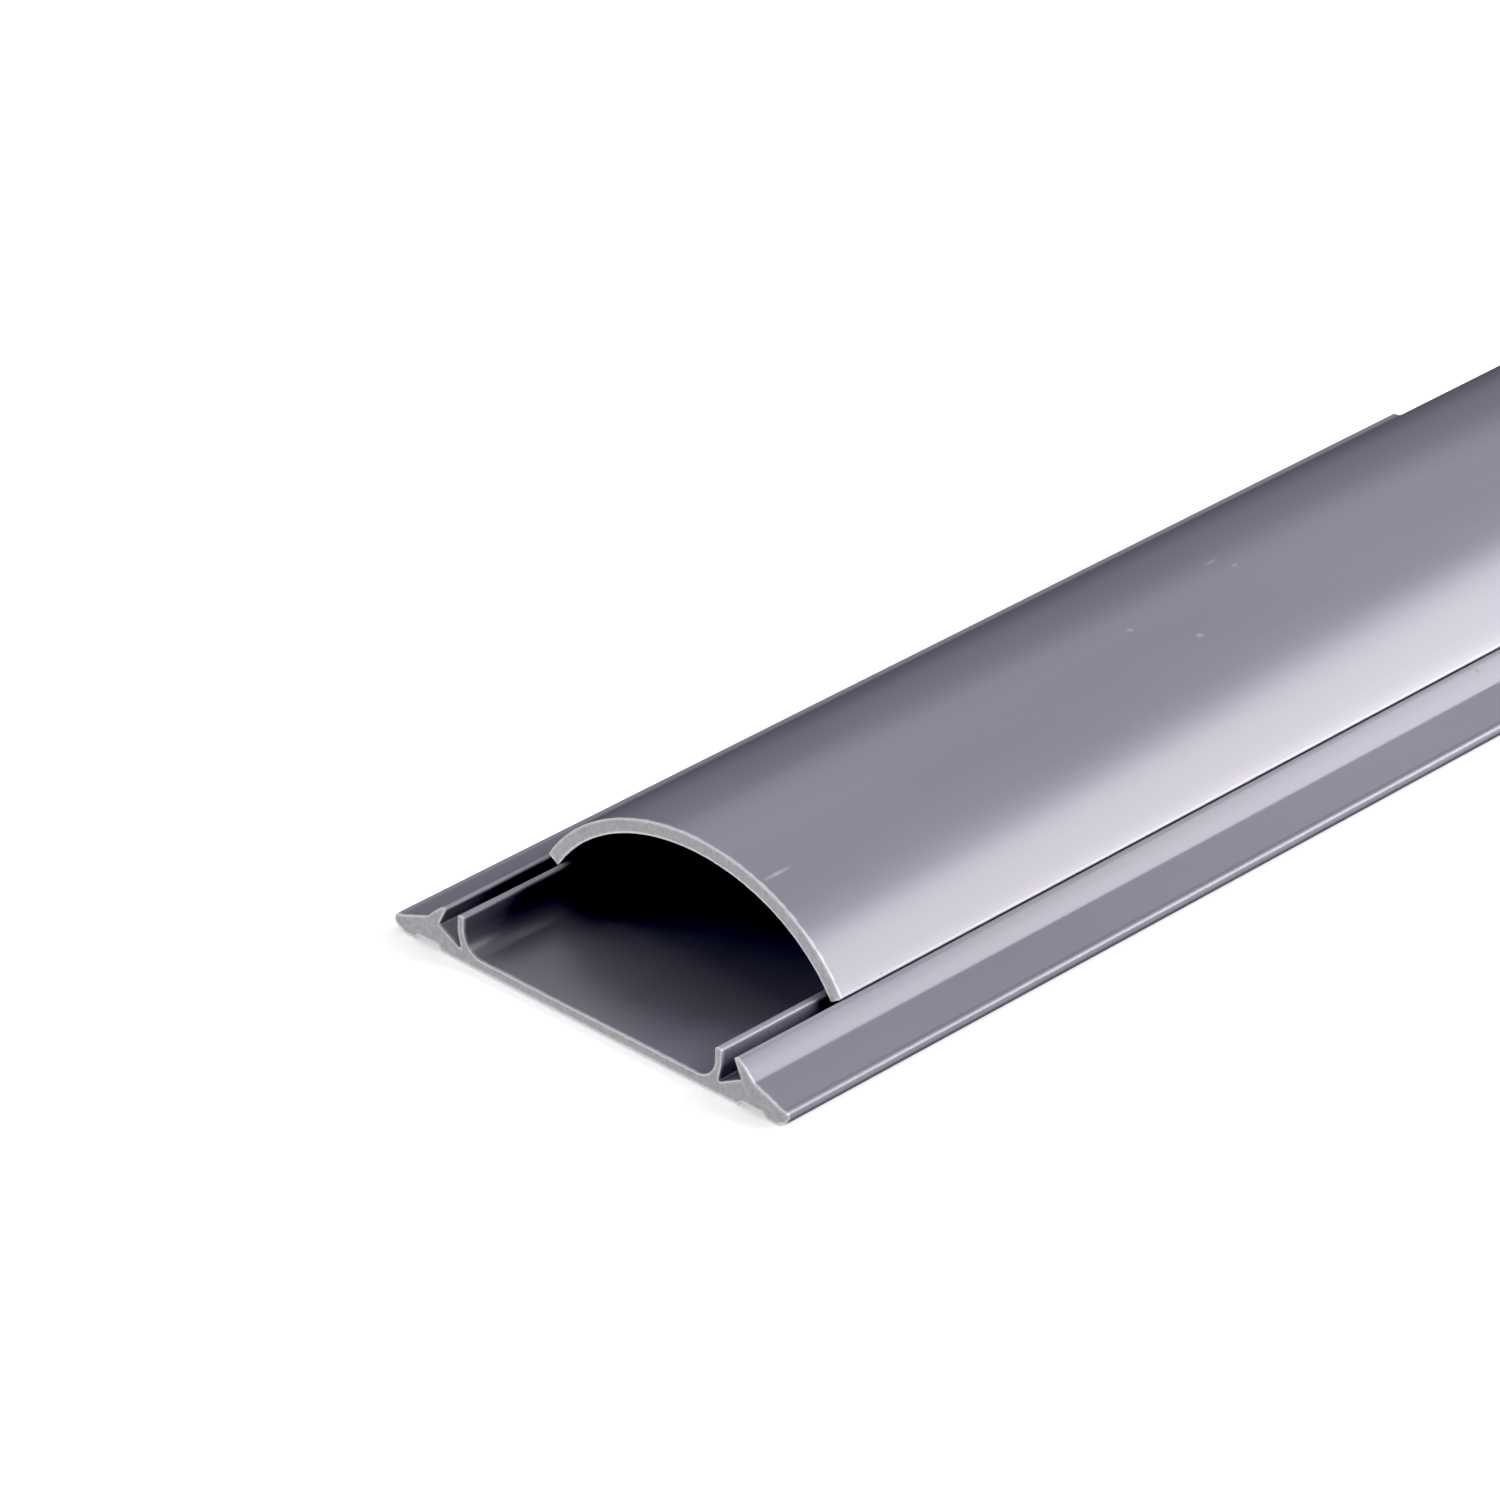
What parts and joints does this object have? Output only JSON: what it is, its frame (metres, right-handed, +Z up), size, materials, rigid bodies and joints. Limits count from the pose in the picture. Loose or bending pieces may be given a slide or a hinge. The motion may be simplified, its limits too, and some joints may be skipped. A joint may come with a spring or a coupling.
{
  "type": "floor cord cover",
  "caption": "Half-round floor trunking that covers a cord: a low base with ramped sides and an arched cover whose edges sit in the mouths of its grooves and slide along them.",
  "frame": {"origin": "middle of the base's flat underside, on the floor", "axes": "+X along the length, away from the end of the base that the drawn-back cover leaves open; +Y across the width; +Z up"},
  "size_m": [0.219, 0.07, 0.02],
  "materials": {
    "base_grey_pvc": "extruded grey rigid PVC, satin along its length, sawn and matte at its ends",
    "cover_grey_pvc": "extruded grey rigid PVC, smooth satin outside, sawn and matte at its ends"
  },
  "bodies": {
    "base": {"base_channel": "base_grey_pvc"},
    "cover": {"arched_cover": "cover_grey_pvc"}
  },
  "joints": [
    {"name": "cover_slide", "type": "slide", "parent": "base", "child": "cover", "axis": [1, 0, 0], "range_m": [-0.019, 0.161]}
  ]
}
